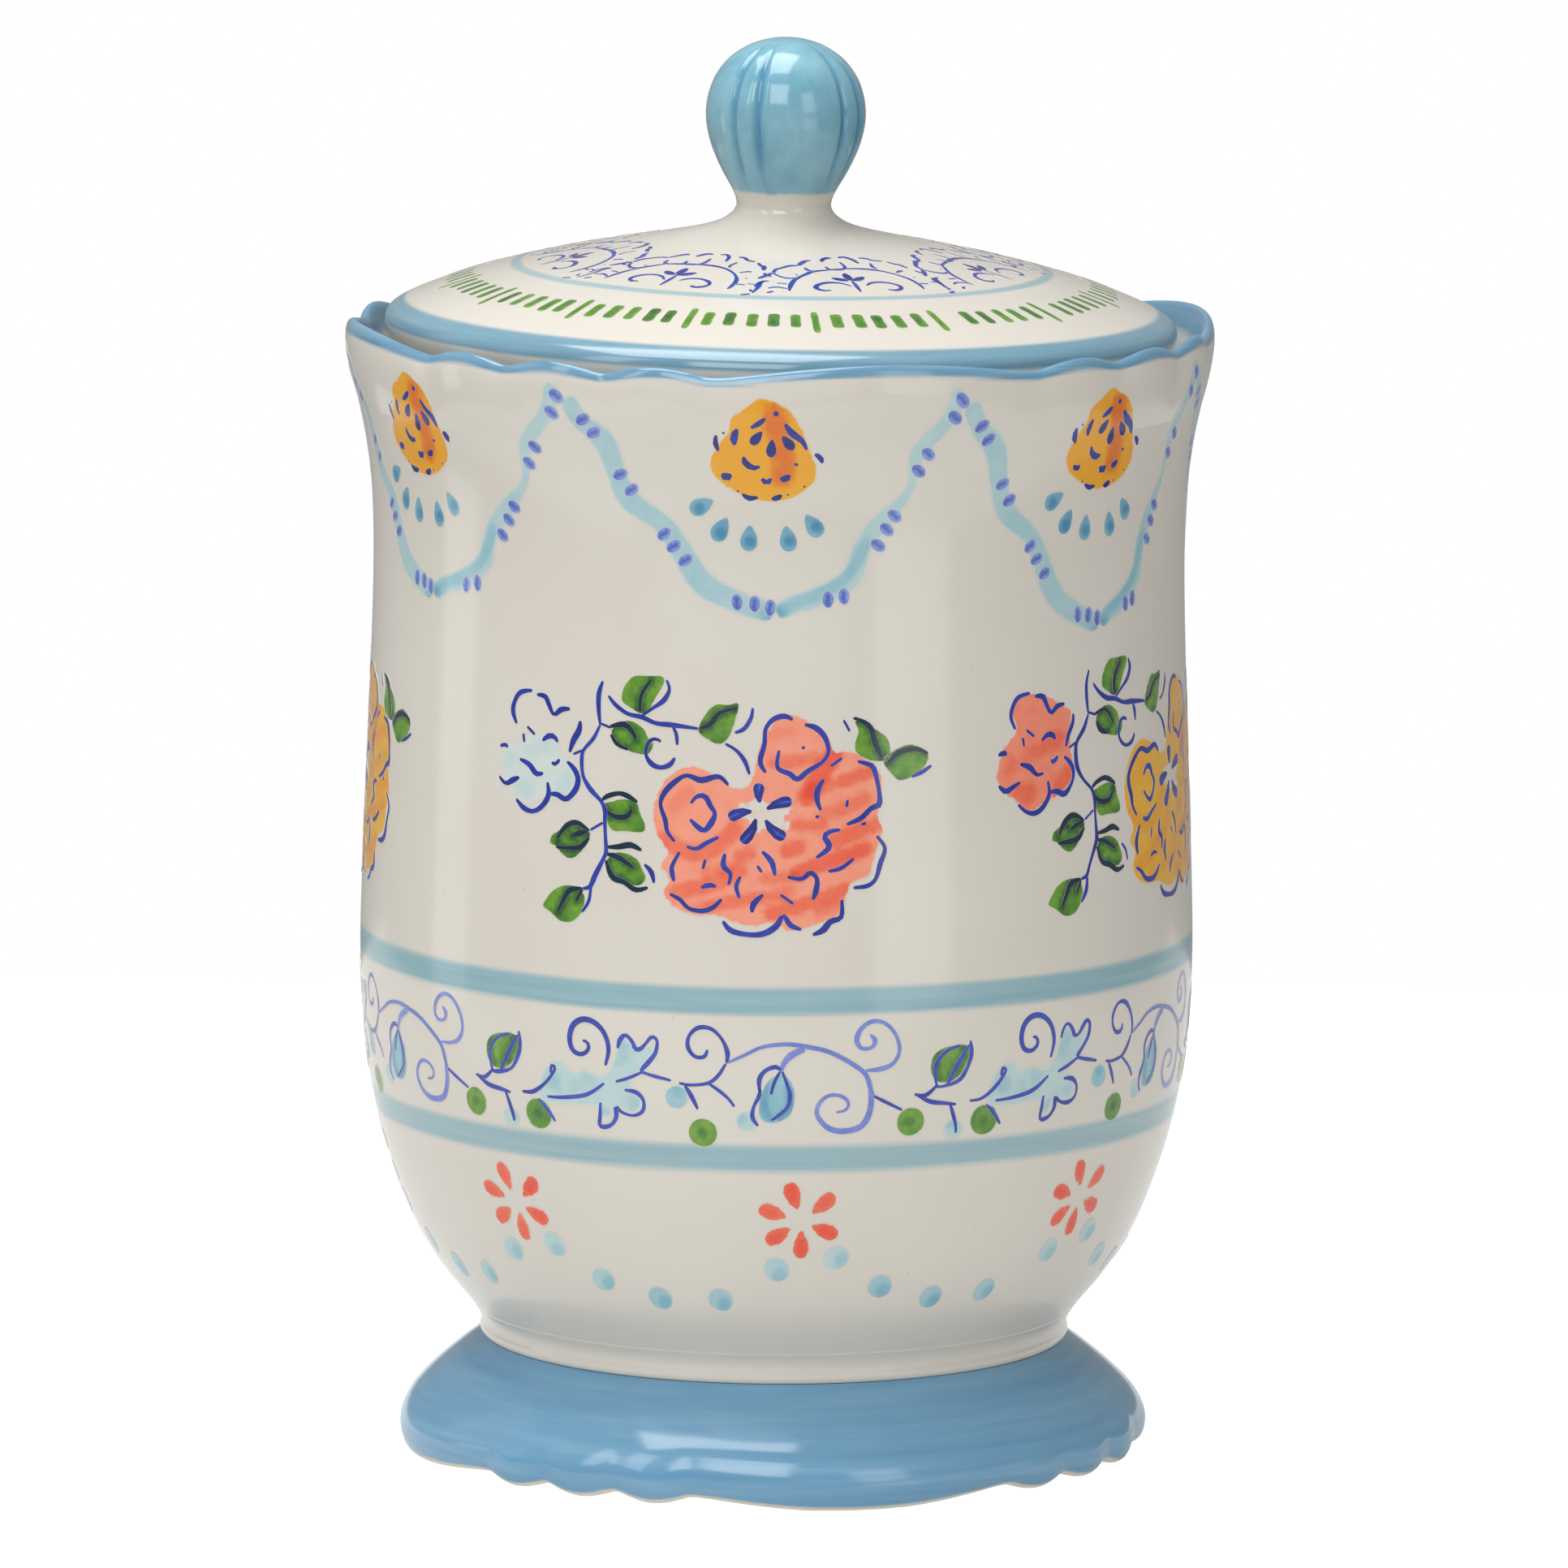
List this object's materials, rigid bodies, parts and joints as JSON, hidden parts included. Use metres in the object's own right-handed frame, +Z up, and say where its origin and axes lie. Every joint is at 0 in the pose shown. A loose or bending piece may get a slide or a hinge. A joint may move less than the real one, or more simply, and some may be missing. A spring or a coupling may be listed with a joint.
{
  "type": "ceramic cookie jar",
  "caption": "Hand-painted ceramic cookie jar with a bellied body, flared scalloped rim and foot, and a domed lift-off lid with a fluted knob.",
  "frame": {"origin": "middle of the foot, on the table", "axes": "+Z up along the jar's axis, -Y towards the front"},
  "size_m": [0.1686, 0.1686, 0.2762],
  "materials": {
    "jar_glaze": "glossy clear glaze over cream body with underglaze painting",
    "rim_glaze": "glossy glaze, brushed blue along the lip",
    "ledge_glaze": "glossy clear glaze over cream body",
    "bead_glaze": "glossy clear glaze over cream body",
    "foot_glaze": "glossy brushed blue glaze, bare clay at the hem's underside",
    "lid_glaze": "glossy clear glaze over cream body with underglaze painting",
    "flange_glaze": "glossy clear glaze over cream body",
    "knob_glaze": "glossy brushed blue glaze, darker in the grooves"
  },
  "bodies": {
    "jar": {"jar_wall": "jar_glaze", "jar_rim": "rim_glaze", "lid_ledge": "ledge_glaze", "foot_bead": "bead_glaze", "foot_skirt": "foot_glaze"},
    "lid": {"lid_dome": "lid_glaze", "lid_flange": "flange_glaze", "lid_knob": "knob_glaze"}
  },
  "joints": [
    {"name": "lid_lift", "type": "slide", "parent": "jar", "child": "lid", "axis": [0, 0, 1], "range_m": [0, 0.08]}
  ]
}
